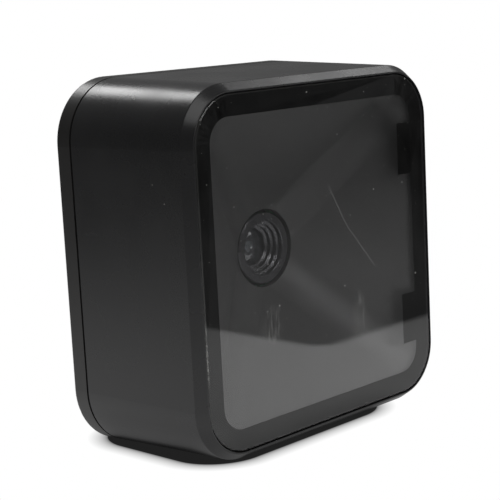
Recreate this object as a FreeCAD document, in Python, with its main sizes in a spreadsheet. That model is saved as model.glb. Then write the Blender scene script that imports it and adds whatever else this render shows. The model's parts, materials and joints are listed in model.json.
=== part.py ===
import FreeCAD, Part
import math
import os
import re

import Sketcher
from FreeCAD import Placement, Rotation, Vector

# A flatbed 2D barcode scanner: a square box with a glass window over a funnel and a camera.
#
# Every piece is drawn in a bench frame: the scanner lies on its back with its window up, the
# optical axis is the Z axis, and heights are measured from the outside of the rear cover. One
# placement then stands the scanner on its lower side, with the window facing -Y and the optical
# axis along Y.

DIMENSIONS = (
    ("back_half", 35.0, "half the side of the back face"),
    ("front_half", 33.8, "half the side where the front facet starts"),
    ("depth", 33.4, "outside of the rear cover to the front rim"),
    ("corner", 10.8, "outer corner radius at the front facet"),
    ("facet_depth", 1.95, "depth of the sloping facet round the front"),
    ("facet_inset", 1.35, "inset of the sloping facet round the front"),
    ("facet_blend", 0.35, "rounding of the facet's edges"),
    ("wall", 2.4, "side wall of the housing"),
    ("cover_edge", 3.55, "height of the rear cover's visible edge"),
    ("seal_height", 0.45, "thickness of the rubber seal in the seam"),
    ("seal_inset", 0.5, "how far the seal sits inside the outer surface"),
    ("cover_floor", 2.0, "floor of the rear cover"),
    ("cover_blend", 0.5, "rounding of the rear cover's back edge"),
    ("tongue_half", 32.0, "half the side of the cover's locating tongue"),
    ("tongue_wall", 1.2, "thickness of the tongue"),
    ("tongue_top", 5.0, "height of the top of the tongue"),
    ("tongue_corner", 8.8, "corner radius of the tongue"),
    ("tongue_fit", 0.5, "gap between the tongue and the seal"),
    ("glass_half", 31.95, "half the side of the window glass"),
    ("glass_corner", 8.95, "corner radius of the window glass"),
    ("glass_height", 1.0, "thickness of the window glass"),
    ("glass_recess", 0.02, "the glass below the front rim"),
    ("glass_bevel", 0.2, "polished bevel on the front edge of the glass"),
    ("glass_gap", 0.25, "gap between the glass and the rim"),
    ("print_height", 0.06, "thickness of the black print behind the glass"),
    ("print_half", 31.7, "half the side of the print's outer edge"),
    ("clear_half", 28.0, "half the side of the clear window"),
    ("clear_corner", 4.7, "corner radius of the clear window"),
    ("tab_inner", 23.9, "inner end of the two print tabs"),
    ("tab_low", 12.1, "near side of each print tab"),
    ("tab_high", 22.3, "far side of each print tab"),
    ("tape_base", 31.85, "height of the ledge that the window tape lies on"),
    ("tape_inner", 29.0, "half the inner side of the window tape"),
    ("tape_corner", 5.8, "inner corner radius of the window tape"),
    ("flange_half", 31.2, "half the side of the funnel's flange"),
    ("flange_corner", 8.0, "corner radius of the funnel's flange"),
    ("flange_fit", 0.2, "clearance round the funnel's flange"),
    ("flange_base", 30.65, "height of the ledge under the funnel's flange"),
    ("web_base", 29.1, "underside of the housing's inner ledge"),
    ("web_half", 29.95, "half the side of the opening in the inner ledge"),
    ("web_corner", 6.7, "corner radius of the opening in the inner ledge"),
    ("mouth_half", 29.2, "half the side of the funnel's mouth"),
    ("mouth_corner", 6.0, "corner radius of the funnel's mouth"),
    ("mouth_wall", 0.5, "thickness of the funnel's wall at its mouth"),
    ("throat", 7.65, "radius of the funnel's round throat"),
    ("throat_top", 17.7, "height of the throat's front edge"),
    ("funnel_base", 16.5, "height of the funnel's back end"),
    ("funnel_outer", 9.2, "outer radius of the funnel's back end"),
    ("facet_arc", 9.0, "degrees of the throat that each flat side of the funnel ends in"),
    ("post_pitch", 11.4, "distance of the funnel's posts from the axis"),
    ("post", 1.8, "radius of the funnel's posts"),
    ("post_top", 19.0, "height where the funnel's posts end inside its wall"),
    ("post_pilot", 0.75, "radius of the posts' pilot holes"),
    ("pilot_spare", 0.4, "room left below the small screws' tips"),
    ("pilot_depth", 3.0, "depth of the small screws' pilot holes"),
    ("ir_x", 27.8, "distance of the infrared devices from the axis along X"),
    ("ir_y", 17.2, "distance of the infrared devices from the axis along Y"),
    ("ir_hole", 1.05, "radius of the funnel's infrared holes"),
    ("ir_hole_base", 26.0, "height where the infrared holes start"),
    ("boss_pitch", 27.2, "corner bosses from the axis along X and Y"),
    ("boss", 3.4, "radius of the housing's corner bosses"),
    ("boss_base", 5.2, "height where the housing's bosses start"),
    ("boss_top", 27.0, "height where the housing's bosses end"),
    ("cover_pilot", 1.3, "radius of the cover screws' pilot holes"),
    ("cover_pilot_depth", 5.8, "depth of the cover screws' pilot holes"),
    ("pillar", 3.0, "radius of the cover's corner pillars"),
    ("cover_hole", 1.45, "radius of the cover's screw holes"),
    ("counterbore", 2.6, "radius of the cover's counterbores"),
    ("counterbore_depth", 1.7, "depth of the cover's counterbores"),
    ("cover_head", 2.4, "radius of the cover screws' heads"),
    ("cover_head_height", 1.5, "height of the cover screws' heads"),
    ("cover_shank", 1.25, "radius of the cover screws' threads"),
    ("cover_tip", 10.5, "height of the cover screws' tips"),
    ("rib_x", 14.0, "board bosses from the axis along X"),
    ("rib_y", 28.4, "board screws from the axis along Y"),
    ("rib_half_x", 2.4, "half the width of a board boss"),
    ("rib_half_y", 3.15, "half the length of a board boss"),
    ("rib_corner", 2.3, "corner radius of a board boss"),
    ("rib_shift", 0.75, "how far a board boss's middle lies outside its screw"),
    ("board_pilot", 1.0, "radius of the main board screws' pilot holes"),
    ("board_pilot_depth", 7.0, "depth of the main board screws' pilot holes"),
    ("led_board_half", 14.6, "half the side of the illumination board"),
    ("led_board_hole", 8.3, "radius of the opening for the lens barrel"),
    ("led_board_base", 13.4, "underside of the illumination board"),
    ("board_height", 1.0, "thickness of every circuit board"),
    ("led_long", 11.4, "far coordinate of each illumination LED"),
    ("led_short", 6.0, "near coordinate of each illumination LED"),
    ("led_width", 1.4, "half the width of an LED"),
    ("led_length", 1.75, "half the length of an LED"),
    ("led_height", 0.9, "height of an LED"),
    ("led_well", 1.1, "radius of an LED's phosphor well"),
    ("led_well_depth", 0.2, "depth of an LED's phosphor well"),
    ("board_corner", 1.5, "corner radius of the boards"),
    ("package_corner", 0.2, "corner radius of the electronic packages"),
    ("sensor_board_half", 13.0, "half the side of the sensor board"),
    ("sensor_board_base", 7.4, "underside of the sensor board"),
    ("spacer_pitch", 11.0, "board spacers from the axis along X and Y"),
    ("spacer", 1.9, "radius of the board spacers"),
    ("spacer_bore", 1.0, "radius of the spacers' threads"),
    ("board_hole", 1.1, "radius of the boards' holes for M2 screws"),
    ("board_head", 1.9, "radius of the main board screws' heads"),
    ("board_head_height", 1.3, "height of the main board screws' heads"),
    ("board_shank", 0.95, "radius of the M2 screws' threads"),
    ("board_tip", 11.5, "height of the main board screws' tips"),
    ("spacer_head", 1.7, "radius of the sensor board screws' heads"),
    ("spacer_head_height", 1.2, "height of the sensor board screws' heads"),
    ("spacer_screw_gap", 0.3, "sensor board screws' tips above the main board"),
    ("small_hole", 0.85, "radius of the boards' holes for small screws"),
    ("small_head", 1.4, "radius of the small screws' heads"),
    ("small_head_height", 1.1, "height of the small screws' heads"),
    ("small_shank", 0.7, "radius of the small screws' threads"),
    ("main_board_half", 30.2, "half the side of the main board"),
    ("main_board_base", 4.2, "underside of the main board"),
    ("notch_half", 4.4, "half the side of the main board's corner notches"),
    ("notch_shift", 0.7, "how far a notch's middle lies outside its pillar"),
    ("link_y", 8.4, "middle of the board link along Y"),
    ("link_socket_x", 6.0, "half the length of the board link's lower half"),
    ("link_socket_y", 1.6, "half the width of the board link's lower half"),
    ("link_plug_x", 5.6, "half the length of the board link's upper half"),
    ("link_plug_y", 1.3, "half the width of the board link's upper half"),
    ("can", 3.1, "radius of the capacitors' cans"),
    ("can_height", 5.0, "height of the capacitors' cans"),
    ("can_foot", 3.3, "half the side of the capacitors' feet"),
    ("can_foot_corner", 0.9, "corner radius of the capacitors' feet"),
    ("can_foot_height", 0.8, "height of the capacitors' feet"),
    ("can_x", -21.0, "both capacitors along X"),
    ("can_near", -9.0, "the nearer capacitor along Y"),
    ("can_far", -17.0, "the farther capacitor along Y"),
    ("buzzer_radius", 6.0, "radius of the buzzer"),
    ("buzzer_height", 6.0, "height of the buzzer"),
    ("buzzer_x", -19.0, "the buzzer along X"),
    ("buzzer_y", 17.0, "the buzzer along Y"),
    ("sound_hole", 1.0, "radius of the buzzer's sound hole"),
    ("sound_hole_depth", 0.8, "depth of the buzzer's sound hole"),
    ("holder_half", 8.6, "half the side of the lens holder's base"),
    ("holder_tube", 7.75, "outer radius of the lens holder's tube"),
    ("holder_top", 13.9, "height of the lens holder's tube"),
    ("holder_shelf", 10.6, "height of the lens holder's base"),
    ("holder_step", 0.4, "depth of the steps in the lens holder's base"),
    ("ear_length", 11.6, "lens holder's screw ears from the axis to their ends"),
    ("ear_width", 2.4, "half the width of the lens holder's screw ears"),
    ("ear_corner", 2.3, "corner radius of the lens holder's screw ears"),
    ("ear_pitch", 10.1, "lens holder's screws from the axis along X"),
    ("sensor_well", 5.0, "half the side of the well over the image sensor"),
    ("well_roof", 1.2, "height of the well over the image sensor"),
    ("filter_height", 0.3, "thickness of the infrared filter"),
    ("filter_half", 4.2, "half the side of the infrared filter"),
    ("filter_fit", 0.1, "play round the infrared filter in its seat"),
    ("filter_corner", 0.4, "corner radius of the infrared filter"),
    ("light_hole", 3.4, "radius of the hole in the lens holder's base"),
    ("grub_height", 12.4, "height of the set screw's axis"),
    ("grub", 0.75, "radius of the set screw"),
    ("grub_fit", 0.05, "radial play of the set screw in its hole"),
    ("grub_gap", 0.1, "the set screw's ends inside the lens holder's tube"),
    ("grub_socket", 0.35, "radius of the set screw's socket"),
    ("grub_socket_depth", 0.6, "depth of the set screw's socket"),
    ("thread_bore", 6.0, "radius of the M12 thread in the holder"),
    ("thread_fit", 0.05, "radial play of the lens barrel in its thread"),
    ("barrel_head", 7.0, "radius of the lens barrel's head"),
    ("barrel_top", 17.5, "front of the lens barrel"),
    ("barrel_neck", 14.7, "underside of the barrel's head"),
    ("barrel_base", 10.95, "back of the lens barrel"),
    ("barrel_edge", 0.15, "chamfer of the barrel's front edges"),
    ("iris", 3.66, "radius of the opening in front of the front lens"),
    ("iris_depth", 3.2, "opening in front of the front lens below the barrel's front"),
    ("iris_land", 0.55, "thickness of the barrel's lip round that opening"),
    ("baffle_width", 0.55, "width of a baffle step"),
    ("baffle_rise", 0.22, "rise of a baffle step's slope"),
    ("baffle_pitch", 1.0, "height from one baffle step to the next"),
    ("grip_ring", 7.15, "radius on which the grip grooves are centred"),
    ("grip", 0.35, "radius of a grip groove"),
    ("grip_end", 0.8, "front end of the grip grooves below the barrel's front"),
    ("cell", 4.4, "bore that holds the lenses"),
    ("lens_rim", 4.35, "radius of both lenses"),
    ("lens_ball", 12.5, "radius of the lenses' spherical faces"),
    ("front_lens_top", 3.3, "front lens below the barrel's front"),
    ("rear_lens_base", 0.6, "rear lens above the barrel's back"),
    ("stop_base", 1.6, "aperture stop above the barrel's back"),
    ("stop_top", 1.95, "front of the aperture stop above the barrel's back"),
    ("stop_opening", 1.1, "radius of the aperture stop's opening"),
    ("ring_height", 0.9, "thickness of the lens retaining ring"),
    ("ring_opening", 3.3, "radius of the retaining ring's opening"),
    ("ring_slot", 0.4, "depth of the retaining ring's key slots"),
    ("ring_slot_inner", 2.9, "inner end of the key slots"),
    ("ring_slot_outer", 4.0, "outer end of the key slots"),
    ("ring_slot_half", 0.5, "half the width of the key slots"),
    ("sensor_half", 4.5, "half the side of the image sensor"),
    ("sensor_height", 0.9, "height of the image sensor"),
    ("pixel_half_x", 3.4, "half the width of the sensor's window"),
    ("pixel_half_y", 2.8, "half the height of the sensor's window"),
    ("pixel_depth", 0.2, "depth of the sensor's window"),
    ("socket_half_y", 8.0, "half the width of the data socket"),
    ("socket_back", 16.0, "inner end of the data socket"),
    ("socket_face", 31.6, "face of the data socket"),
    ("socket_top", 18.6, "height of the data socket's top"),
    ("plug_half", 6.0, "half the width of the plug's cavity"),
    ("plug_low", 8.2, "floor of the plug's cavity"),
    ("plug_high", 15.2, "roof of the plug's cavity"),
    ("plug_depth", 13.0, "depth of the plug's cavity"),
    ("latch_half", 3.3, "half the width of the latch's groove"),
    ("latch_high", 17.3, "roof of the latch's groove"),
    ("contact_pitch", 1.02, "distance between two socket contacts"),
    ("contact_half", 0.225, "half the width of a socket contact"),
    ("contact_height", 0.4, "thickness of a socket contact"),
    ("contact_rise", 1.0, "how far the contacts rise from the cavity's floor"),
    ("contact_tip", 21.0, "inner end of the socket contacts"),
    ("contact_foot", 30.1, "where the socket contacts start to rise"),
    ("contact_end", 30.6, "outer end of the socket contacts"),
    ("opening_gap", 0.4, "gap between the plug's cavity and the housing's opening"),
    ("opening_corner", 0.6, "corner radius of the housing's opening"),
    ("opening_start", 30.1, "inner end of the housing's opening"),
    ("strip_base", 23.5, "underside of the presence-sensor board"),
    ("strip_screw_x", 29.4, "presence-board screws from the axis along X"),
    ("strip_screw_y", 10.0, "presence-board screws from the axis along Y"),
    ("strip_x", 27.9, "middle of the presence-sensor board along X"),
    ("strip_half_x", 3.1, "half the width of the presence-sensor board"),
    ("strip_half_y", 21.0, "half the length of the presence-sensor board"),
    ("strip_post", 1.6, "radius of the posts over the presence-sensor board"),
    ("strip_pilot", 0.6, "radius of these posts' pilot holes"),
    ("strip_hole", 0.7, "radius of the presence-sensor board's screw holes"),
    ("strip_head", 1.3, "radius of its screws' heads"),
    ("strip_head_height", 1.0, "height of its screws' heads"),
    ("strip_shank", 0.55, "radius of its screws' threads"),
    ("strip_tip", 26.8, "height of its screws' tips"),
    ("ir_flange", 1.3, "radius of an infrared device's flange"),
    ("ir_flange_height", 0.7, "height of an infrared device's flange"),
    ("ir_barrel", 0.9, "radius of an infrared device's barrel"),
    ("ir_dome", 0.85, "rounding of an infrared device's tip"),
    ("ir_top", 30.1, "height of an infrared device's tip"),
    ("flex_height", 1.1, "height of a ribbon connector"),
    ("presence_low", 25.4, "near side of the presence ribbon's connectors along X"),
    ("presence_high", 28.4, "far side of the presence ribbon's connectors along X"),
    ("presence_y", 11.5, "start of the presence ribbon's connectors along Y"),
    ("led_plug_low", -14.4, "near side of the illumination ribbon's connectors along X"),
    ("led_plug_high", -12.2, "far side of the illumination ribbon's connectors along X"),
    ("led_plug_y", 3.0, "start of the illumination ribbon's connectors along Y"),
    ("flex_bulge", 1.8, "how far a ribbon bulges sideways"),
    ("flex_film", 0.2, "thickness of a ribbon"),
    ("flex_bend", 1.0, "bend radius of a ribbon"),
    ("flex_width", 4.0, "width of a ribbon"),
    ("flex_socket", 5.0, "length of a ribbon connector"),
    ("insert_pitch", 20.0, "half the spacing of the M3 mounting holes"),
    ("insert_bore", 1.5, "radius of the M3 mounting holes"),
    ("insert_outer", 2.1, "radius of the pocket for each brass insert"),
    ("insert_height", 3.0, "length of each brass insert"),
    ("insert_fit", 0.02, "radial play of each brass insert"),
    ("insert_wall", 1.6, "plastic round each brass insert"),
    ("insert_cap", 0.6, "plastic over the end of each brass insert"),
    ("label_half_x", 17.0, "half the length of the blank rating label's recess"),
    ("label_half_y", 8.0, "half the width of the blank rating label's recess"),
    ("label_corner", 1.0, "corner radius of the label's recess"),
    ("label_recess", 0.2, "depth of the label's recess"),
    ("label_height", 0.15, "thickness of the label"),
    ("label_fit", 0.2, "gap round the label"),
)

doc = FreeCAD.newDocument("FlatbedScanner")
sheet = doc.addObject("Spreadsheet::Sheet", "Dimensions")
for row, (alias, size, meaning) in enumerate(DIMENSIONS, start=1):
    sheet.set(f"A{row}", alias)
    sheet.set(f"B{row}", str(size))
    sheet.set(f"C{row}", meaning)
    sheet.setAlias(f"B{row}", alias)
doc.recompute()

ALIASES = {alias for alias, _, _ in DIMENSIONS}
STRIP_SCREWS = [("strip_screw_x", "strip_screw_y"), ("strip_screw_x", "-strip_screw_y")]
EAR_SCREWS = [("ear_pitch", "0"), ("-ear_pitch", "0")]
ALL_CORNERS = ((1, 1), (-1, 1), (-1, -1), (1, -1))
SIDES = ((1, 0), (0, 1), (-1, 0), (0, -1))

# Sizes that several pieces share, as formulas of the sheet's cells.
SLOPE = "(back_half - front_half) / (depth - facet_depth)"
DRAFT = f"-atan({SLOPE})"
SEAM_TOP = "(cover_edge + seal_height)"
GLASS_BASE = "(depth - glass_recess - glass_height)"
PRINT_BASE = f"({GLASS_BASE} - print_height)"
SENSOR_TOP = "(sensor_board_base + board_height)"
MAIN_TOP = "(main_board_base + board_height)"
LED_TOP = "(led_board_base + board_height)"
STRIP_TOP = "(strip_base + board_height)"
SCREW_TOP = f"({SENSOR_TOP} + spacer_head_height)"
FILTER_BASE = f"({SENSOR_TOP} + well_roof)"
FILTER_TOP = f"({FILTER_BASE} + filter_height)"
OUTSIDE = "(back_half + 1)"

# The cross recess of a screw, as parts of its head's radius and height.
RECESS_LENGTH = 0.62
RECESS_WIDTH = 0.16
RECESS_DEPTH = 0.6

GRIP_COUNT = 24
BAFFLE_COUNT = 3  # steps in the front of the lens barrel
CONTACT_COUNT = 8


def bound(formula):
    """The formula with each dimension's name written as a reference to the sheet."""
    return re.sub(
        r"[a-z_]+", lambda m: f"Dimensions.{m[0]}" if m[0] in ALIASES else m[0], str(formula)
    )


def value(formula):
    """The formula's value now, in mm or degrees."""
    result = sheet.evalExpression(bound(formula))
    return float(getattr(result, "Value", result))


def outer_half(height):
    """Half the side of the drafted outer surface at a height."""
    return f"(back_half - ({height}) * {SLOPE})"


def outer_corner(height):
    """Corner radius of the drafted outer surface at a height."""
    return f"(corner + {outer_half(height)} - front_half)"


# The scanner stands on its widest line, where the rounding of the back edge ends.
UPRIGHT = Placement(
    Vector(0, sheet.depth / 2, value(outer_half("cover_blend"))),
    Rotation(Vector(1, 0, 0), 90),
)
pieces = []


# Shapes for sketches. Each takes formulas and returns a function that draws them, fully constrained.


def fix_point(sketch, geometry, end, x, y):
    """Binds one point of a sketch to a formula for each coordinate."""
    for kind, formula, axis in (("DistanceX", x, -2), ("DistanceY", y, -1)):
        distance = value(formula)
        if abs(distance) < 1e-9:
            sketch.addConstraint(Sketcher.Constraint("PointOnObject", geometry, end, axis))
            continue
        if distance > 0:
            ends = (-1, 1, geometry, end)
        else:
            ends = (geometry, end, -1, 1)
            formula = f"-({formula})"
        index = sketch.addConstraint(Sketcher.Constraint(kind, *ends, abs(distance)))
        sketch.setExpression(f"Constraints[{index}]", bound(formula))


def fix_radius(sketch, geometry, radius):
    """Binds a circle's or an arc's radius to a formula."""
    index = sketch.addConstraint(Sketcher.Constraint("Radius", geometry, value(radius)))
    sketch.setExpression(f"Constraints[{index}]", bound(radius))


def disc(radius, x="0", y="0"):
    def draw(sketch):
        circle = Part.Circle(Vector(value(x), value(y), 0), Vector(0, 0, 1), value(radius))
        index = sketch.addGeometry(circle)
        fix_point(sketch, index, 3, x, y)
        fix_radius(sketch, index, radius)

    return draw


def polygon(*points):
    def draw(sketch):
        corners = [Vector(value(x), value(y), 0) for x, y in points]
        count = len(points)
        lines = [
            sketch.addGeometry(Part.LineSegment(corners[i], corners[(i + 1) % count]))
            for i in range(count)
        ]
        for i, (x, y) in enumerate(points):
            sketch.addConstraint(
                Sketcher.Constraint("Coincident", lines[i - 1], 2, lines[i], 1)
            )
            fix_point(sketch, lines[i], 1, x, y)

    return draw


def box(low_x, low_y, high_x, high_y):
    return polygon((low_x, low_y), (high_x, low_y), (high_x, high_y), (low_x, high_y))


def round_box(half_x, half_y, radius, x="0", y="0"):
    """A rectangle with round corners about a centre."""

    def draw(sketch):
        size = value(radius)
        arcs, starts, ends = [], [], []
        for turn, (side_x, side_y) in enumerate(ALL_CORNERS):
            centre_x = f"({x}) + {side_x} * (({half_x}) - ({radius}))"
            centre_y = f"({y}) + {side_y} * (({half_y}) - ({radius}))"
            centre = Vector(value(centre_x), value(centre_y), 0)
            arc = Part.ArcOfCircle(
                Part.Circle(centre, Vector(0, 0, 1), size),
                turn * math.pi / 2,
                (turn + 1) * math.pi / 2,
            )
            starts.append(arc.StartPoint)
            ends.append(arc.EndPoint)
            arcs.append(sketch.addGeometry(arc))
            fix_point(sketch, arcs[-1], 3, centre_x, centre_y)
        fix_radius(sketch, arcs[0], radius)
        for turn in range(4):
            following = (turn + 1) % 4
            side = sketch.addGeometry(Part.LineSegment(ends[turn], starts[following]))
            sketch.addConstraint(Sketcher.Constraint("Tangent", arcs[turn], 2, side, 1))
            sketch.addConstraint(Sketcher.Constraint("Tangent", side, 2, arcs[following], 1))
            if following:
                sketch.addConstraint(Sketcher.Constraint("Equal", arcs[0], arcs[following]))

    return draw


def segmented_circle(radius, side_arc):
    """A circle as four short arcs, each facing a side, and four long ones, each facing a corner."""

    def draw(sketch):
        angles = []
        for turn in range(4):
            angles.append(f"{90 * turn} + ({side_arc}) / 2")
            angles.append(f"{90 * (turn + 1)} - ({side_arc}) / 2")
        full = Part.Circle(Vector(), Vector(0, 0, 1), value(radius))
        arcs = []
        for i, angle in enumerate(angles):
            start = math.radians(value(angle))
            end = math.radians(value(angles[(i + 1) % 8]) + (360 if i == 7 else 0))
            arcs.append(sketch.addGeometry(Part.ArcOfCircle(full, start, end)))
        for i, angle in enumerate(angles):
            sketch.addConstraint(Sketcher.Constraint("Coincident", arcs[i - 1], 2, arcs[i], 1))
            fix_point(
                sketch,
                arcs[i],
                1,
                f"({radius}) * cos(1 deg * ({angle}))",
                f"({radius}) * sin(1 deg * ({angle}))",
            )
            fix_radius(sketch, arcs[i], radius)

    return draw


def cross(half_length, half_width, x, y):
    """The cross of a screw's drive recess."""
    offsets = []
    for turn_x, turn_y in SIDES:
        for across in (-1, 1):
            offsets.append(
                (
                    f"({x}) + {turn_x} * {half_length} - {turn_y * across} * {half_width}",
                    f"({y}) + {turn_y} * {half_length} + {turn_x * across} * {half_width}",
                )
            )
        inner_x, inner_y = turn_x - turn_y, turn_y + turn_x
        offsets.append(
            (f"({x}) + {inner_x} * {half_width}", f"({y}) + {inner_y} * {half_width}")
        )
    return polygon(*offsets)


def at_corners(x, y=None):
    """The four points that mirror (x, y) about both axes."""
    return [(f"{sx} * ({x})", f"{sy} * ({y or x})") for sx, sy in ALL_CORNERS]


def at_sides(distance):
    """The four points on the axes at a distance from the centre."""
    return [(f"{sx} * ({distance})", f"{sy} * ({distance})") for sx, sy in SIDES]


def discs(radius, points):
    return [disc(radius, x, y) for x, y in points]


class Piece:
    """One node: a PartDesign body drawn in the bench frame and stood upright by its placement."""

    def __init__(self, label):
        self.body = doc.addObject("PartDesign::Body", label)
        self.body.Label = label
        self.body.Placement = UPRIGHT
        pieces.append(self.body)

    def sketch(self, shapes, level="0", plane="XY_Plane"):
        """A sketch `level` above one of the body's own planes, along that plane's normal."""
        sketch = self.body.newObject("Sketcher::SketchObject", "Sketch")
        support = [p for p in self.body.Origin.OriginFeatures if p.Role == plane]
        sketch.AttachmentSupport = [(support[0], "")]
        sketch.MapMode = "FlatFace"
        sketch.setExpression("AttachmentOffset.Base.z", bound(level))
        for draw in shapes:
            draw(sketch)
        return sketch

    def volume(self):
        doc.recompute()
        return self.body.Shape.Volume if self.body.Tip else 0.0

    def check(self, before, grows):
        """Stops when the last feature has not changed the solid the way it should."""
        gained = self.volume() - before
        if (gained <= 0) if grows else (gained >= 0):
            raise RuntimeError(f"{self.body.Label}: {self.body.Tip.Name} has no effect")

    def extrude(self, kind, shapes, level, length, plane, draft, backwards):
        before = self.volume()
        profile = self.sketch(shapes, level, plane)
        feature = self.body.newObject(f"PartDesign::{kind}", kind)
        feature.Profile = profile
        feature.setExpression("Length", bound(length))
        feature.Reversed = backwards
        if draft:
            feature.setExpression("TaperAngle", bound(draft))
        self.check(before, kind == "Pad")
        return self

    def pad(self, low, high, *shapes, plane="XY_Plane", draft=None):
        """Adds the shapes between two heights."""
        return self.extrude("Pad", shapes, low, f"({high}) - ({low})", plane, draft, False)

    def cut(self, low, high, *shapes, plane="XY_Plane", draft=None):
        """Takes the shapes away between two heights, starting at the lower one."""
        return self.extrude("Pocket", shapes, low, f"({high}) - ({low})", plane, draft, True)

    def turn(self, *points):
        """Adds a solid of revolution about the optical axis from (radius, height) points."""
        before = self.volume()
        profile = self.sketch([polygon(*points)], plane="XZ_Plane")
        feature = self.body.newObject("PartDesign::Revolution", "Revolution")
        feature.Profile = profile
        feature.ReferenceAxis = (profile, ["V_Axis"])
        feature.Angle = 360
        self.check(before, True)
        return self

    def loft(self, kind, sections):
        """Adds or takes away a ruled loft through (level, shape) sections."""
        before = self.volume()
        sketches = [self.sketch([shape], level) for level, shape in sections]
        feature = self.body.newObject(f"PartDesign::{kind}Loft", "Loft")
        feature.Profile = sketches[0]
        feature.Sections = sketches[1:]
        feature.Ruled = True
        self.check(before, kind == "Additive")
        return self

    def dress(self, kind, size_name, size, level):
        """Fillets or chamfers every edge that lies at one height."""
        doc.recompute()
        height = value(level)
        base = self.body.Tip
        chosen = []
        for i, edge in enumerate(base.Shape.Edges, start=1):
            bounds = edge.BoundBox
            if abs(bounds.ZMin - height) < 1e-4 and abs(bounds.ZMax - height) < 1e-4:
                chosen.append(f"Edge{i}")
        feature = self.body.newObject(f"PartDesign::{kind}", kind)
        feature.Base = (base, chosen)
        feature.setExpression(size_name, bound(size))
        doc.recompute()
        return self

    def fillet(self, size, level):
        return self.dress("Fillet", "Radius", size, level)

    def chamfer(self, size, level):
        return self.dress("Chamfer", "Size", size, level)


def screws(label, points, head, head_low, head_high, shank, tip):
    """Cross-recessed cheese-head screws along the optical axis, as one node of separate solids."""
    group = Piece(label)
    group.pad(head_low, head_high, *discs(head, points))
    heads_up = value(tip) < value(head_low)
    low, high = (tip, head_low) if heads_up else (head_high, tip)
    group.pad(low, high, *discs(shank, points))
    depth = f"{RECESS_DEPTH} * (({head_high}) - ({head_low}))"
    half_length, half_width = f"({head} * {RECESS_LENGTH})", f"({head} * {RECESS_WIDTH})"
    drive = [cross(half_length, half_width, x, y) for x, y in points]
    if heads_up:
        group.cut(f"({head_high}) - {depth}", head_high, *drive)
    else:
        group.cut(head_low, f"({head_low}) + {depth}", *drive)


# Casing


def front_housing():
    """The moulded shell: drafted sides, front facet, window recess, bosses and socket opening."""
    facet_base = "(depth - facet_depth)"
    base_half = outer_half(SEAM_TOP)
    base_corner = outer_corner(SEAM_TOP)
    shell = Piece("front_housing")
    shell.pad(SEAM_TOP, facet_base, round_box(base_half, base_half, base_corner), draft=DRAFT)
    shell.pad(
        facet_base,
        "depth",
        round_box("front_half", "front_half", "corner"),
        draft="-atan(facet_inset / facet_depth)",
    )
    shell.fillet("facet_blend", facet_base)
    shell.fillet("facet_blend * 0.7", "depth")
    inner_half = f"({base_half} - wall)"
    inner_corner = f"({base_corner} - wall)"
    shell.cut(
        SEAM_TOP, "web_base", round_box(inner_half, inner_half, inner_corner), draft=DRAFT
    )
    recess = "(glass_half + glass_gap)"
    shell.cut("tape_base", "depth", round_box(recess, recess, "glass_corner + glass_gap"))
    nest = "(flange_half + flange_fit)"
    shell.cut("flange_base", "tape_base", round_box(nest, nest, "flange_corner + flange_fit"))
    shell.cut("web_base", "flange_base", round_box("web_half", "web_half", "web_corner"))
    corners = at_corners("boss_pitch")
    shell.pad("boss_base", "boss_top", *discs("boss", corners))
    ribs = [
        round_box("rib_half_x", "rib_half_y", "rib_corner", x, y)
        for x, y in at_corners("rib_x", "rib_y + rib_shift")
    ]
    shell.pad("boss_base", "boss_top", *ribs)
    shell.cut("boss_base", "boss_base + cover_pilot_depth", *discs("cover_pilot", corners))
    board_points = at_corners("rib_x", "rib_y")
    shell.cut("boss_base", "boss_base + board_pilot_depth", *discs("board_pilot", board_points))
    shell.pad(STRIP_TOP, "web_base", *discs("strip_post", STRIP_SCREWS))
    shell.cut(STRIP_TOP, f"{STRIP_TOP} + pilot_depth", *discs("strip_pilot", STRIP_SCREWS))
    opening = round_box(
        "plug_half + opening_gap",
        "(latch_high - plug_low) / 2 + opening_gap",
        "opening_corner",
        "0",
        "(latch_high + plug_low) / 2",
    )
    shell.cut("opening_start", OUTSIDE, opening, plane="YZ_Plane")


def rear_cover():
    """The tray that closes the back: drafted edge, tongue, pillars and bosses for the inserts."""
    tray = Piece("rear_cover")
    tray.pad(
        "0",
        "cover_edge",
        round_box("back_half", "back_half", outer_corner("0")),
        draft=DRAFT,
    )
    tray.fillet("cover_blend", "0")
    tray.pad("cover_edge", "tongue_top", round_box("tongue_half", "tongue_half", "tongue_corner"))
    hollow = "(tongue_half - tongue_wall)"
    tray.cut("cover_floor", "tongue_top", round_box(hollow, hollow, "tongue_corner - tongue_wall"))
    corners = at_corners("boss_pitch")
    tray.pad("cover_floor", "boss_base", *discs("pillar", corners))
    tray.cut("0", "boss_base", *discs("cover_hole", corners))
    tray.cut("0", "counterbore_depth", *discs("counterbore", corners))
    inserts = at_corners("insert_pitch")
    cups = discs("insert_outer + insert_wall", inserts)
    tray.pad("cover_floor", "insert_height + insert_cap", *cups)
    tray.cut("0", "insert_height", *discs("insert_outer", inserts))
    tray.cut("0", "label_recess", round_box("label_half_x", "label_half_y", "label_corner"))


def cover_seal():
    outer = f"({outer_half('cover_edge')} - seal_inset)"
    outer_round = f"({outer_corner('cover_edge')} - seal_inset)"
    inner = "(tongue_half + tongue_fit)"
    ring = Piece("cover_seal")
    ring.pad(
        "cover_edge",
        SEAM_TOP,
        round_box(outer, outer, outer_round),
        round_box(inner, inner, "tongue_corner + tongue_fit"),
    )


def cover_screws():
    screws(
        "cover_screws",
        at_corners("boss_pitch"),
        "cover_head",
        "counterbore_depth - cover_head_height",
        "counterbore_depth",
        "cover_shank",
        "cover_tip",
    )


def mounting_inserts():
    points = at_corners("insert_pitch")
    inserts = Piece("mounting_inserts")
    inserts.pad("0", "insert_height", *discs("insert_outer - insert_fit", points))
    inserts.cut("0", "insert_height", *discs("insert_bore", points))


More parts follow.
